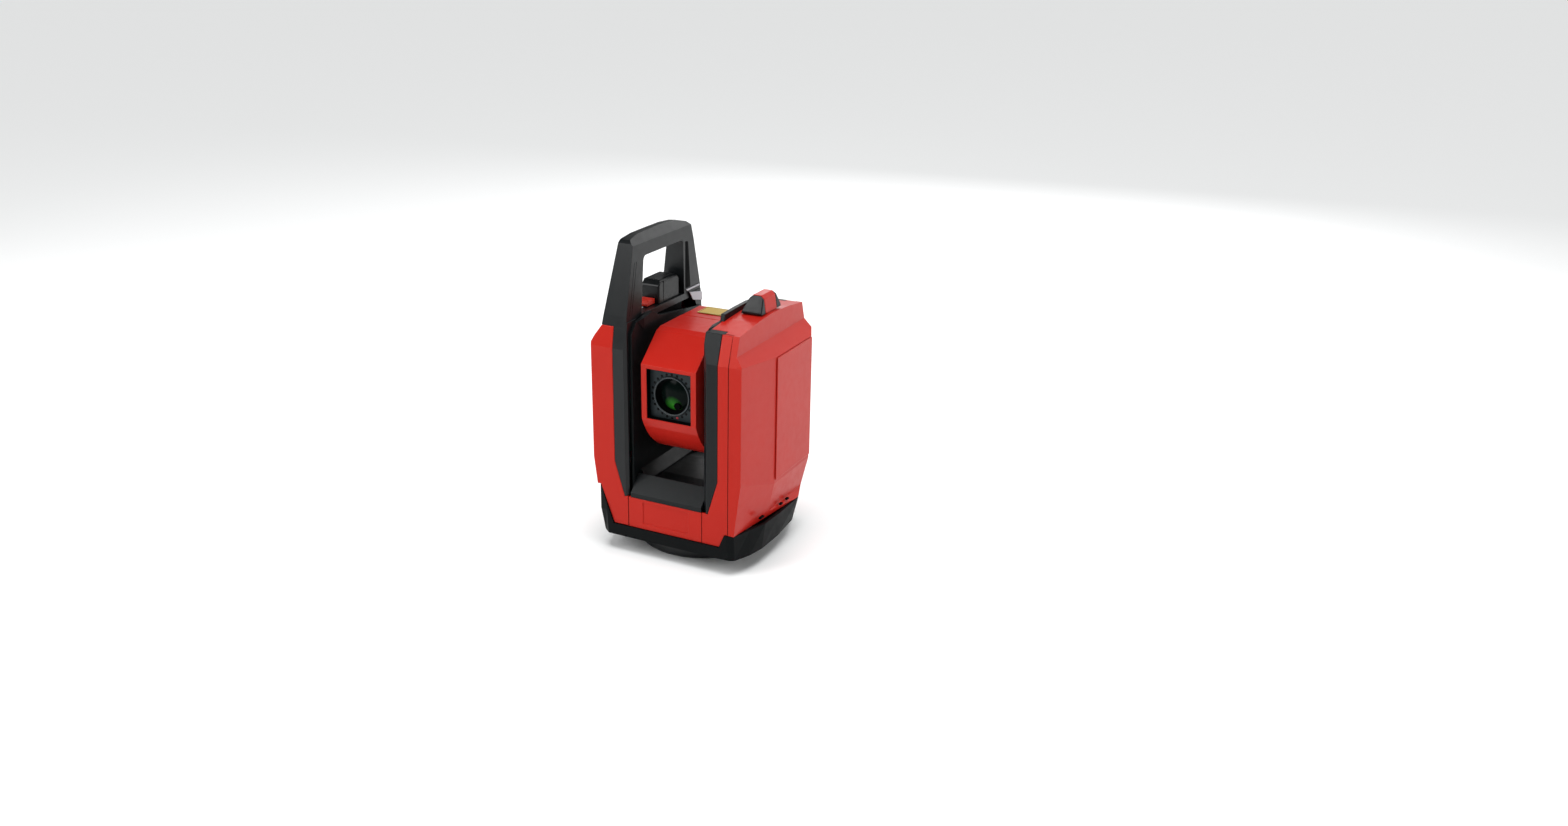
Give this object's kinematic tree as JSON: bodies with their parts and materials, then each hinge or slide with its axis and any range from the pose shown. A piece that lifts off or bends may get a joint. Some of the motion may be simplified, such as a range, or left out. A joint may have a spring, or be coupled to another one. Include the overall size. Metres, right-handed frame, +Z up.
{
  "type": "robotic laser layout station",
  "caption": "Two-yoke optical instrument on a round turning base, with a tilting lens head, a tall carrying handle over one yoke and a slide-in battery.",
  "frame": {"origin": "centre of the base disc's underside, on the vertical turning axis", "axes": "+X to the instrument's right seen from the window side, +Y away from the window, +Z up"},
  "size_m": [0.2126, 0.188, 0.3782],
  "materials": {
    "red_housing": "red moulded ABS, fine satin grain",
    "red_latch": "red moulded acetal, satin",
    "black_housing": "black glass-filled nylon, fine grain",
    "black_rubber": "black moulded elastomer",
    "black_battery": "black moulded ABS",
    "black_optics": "dull black",
    "black_button": "soft-touch black",
    "steel": "ground steel",
    "cast_aluminium": "cast",
    "brass": "turned",
    "copper_winding": "enamelled winding",
    "lens_glass": "coated objective glass",
    "encoder_glass": "encoder disc glass",
    "circuit_board": "green solder mask",
    "grey_plate": "light grey satin",
    "label": "dull yellow printed label, no text"
  },
  "bodies": {
    "base": {"base_disc": "black_housing", "thread_insert": "brass", "yaw_bearing_inner": "steel", "yaw_stator": "copper_winding", "yaw_encoder_disc": "encoder_glass"},
    "alidade": {"yaw_bearing_outer": "steel", "yaw_rotor": "steel", "chassis": "cast_aluminium", "yaw_encoder_reader": "circuit_board", "main_board": "circuit_board", "power_board": "circuit_board", "processor_board": "circuit_board", "trunnion_bearing_left": "steel", "trunnion_bearing_right": "steel", "tilt_stator": "copper_winding", "tilt_encoder_reader": "circuit_board", "lower_bumper": "black_rubber", "right_yoke_shell": "red_housing", "right_front_strip": "red_housing", "right_rear_strip": "red_housing", "right_inner_cover": "black_housing", "right_side_cover": "red_housing", "left_yoke_shell": "red_housing", "left_inner_cheek": "black_housing", "left_side_cover": "red_housing", "handle_frame": "black_housing", "battery_well": "black_battery", "battery_contacts": "brass", "battery_catch_plate": "grey_plate", "handle_clip_plate": "grey_plate", "handle_clip_strip": "grey_plate", "antenna_core": "black_housing", "antenna_saddle": "red_housing", "antenna_board": "circuit_board", "front_centre_panel": "red_housing", "rear_centre_panel": "red_housing", "power_switch": "circuit_board", "trough_cover": "black_housing", "rear_screw_1": "steel", "rear_screw_2": "steel", "rear_screw_3": "steel", "rear_screw_4": "steel"},
    "head": {"head_front_shell": "red_housing", "head_rear_shell": "red_housing", "window_plate": "black_optics", "lens_ring": "black_optics", "objective_lens": "lens_glass", "lens_tube": "black_optics", "laser_module": "brass", "camera_board": "circuit_board", "head_label": "label", "tilt_axle_left": "steel", "tilt_axle_right": "steel", "tilt_rotor": "steel", "tilt_encoder_disc": "encoder_glass"},
    "battery": {"battery_pack": "black_battery"},
    "release_tab": {"battery_release_tab": "red_latch"},
    "power_button": {"power_button": "black_button"}
  },
  "joints": [
    {"name": "yaw", "type": "hinge", "parent": "base", "child": "alidade", "pos_m": [0, 0, 0.03], "axis": [0, 0, 1], "continuous": true},
    {"name": "tilt", "type": "hinge", "parent": "alidade", "child": "head", "pos_m": [0, 0, 0.203], "axis": [1, 0, 0], "continuous": true},
    {"name": "battery_slide", "type": "slide", "parent": "alidade", "child": "battery", "axis": [0, 0, 1], "range_m": [0, 0.03]},
    {"name": "release_tab_slide", "type": "slide", "parent": "alidade", "child": "release_tab", "axis": [0, -1, 0], "range_m": [0, 0.003], "stiffness_N_per_m": 400},
    {"name": "power_button_press", "type": "slide", "parent": "alidade", "child": "power_button", "axis": [0, -1, 0], "range_m": [0, 0.0012], "stiffness_N_per_m": 800}
  ]
}
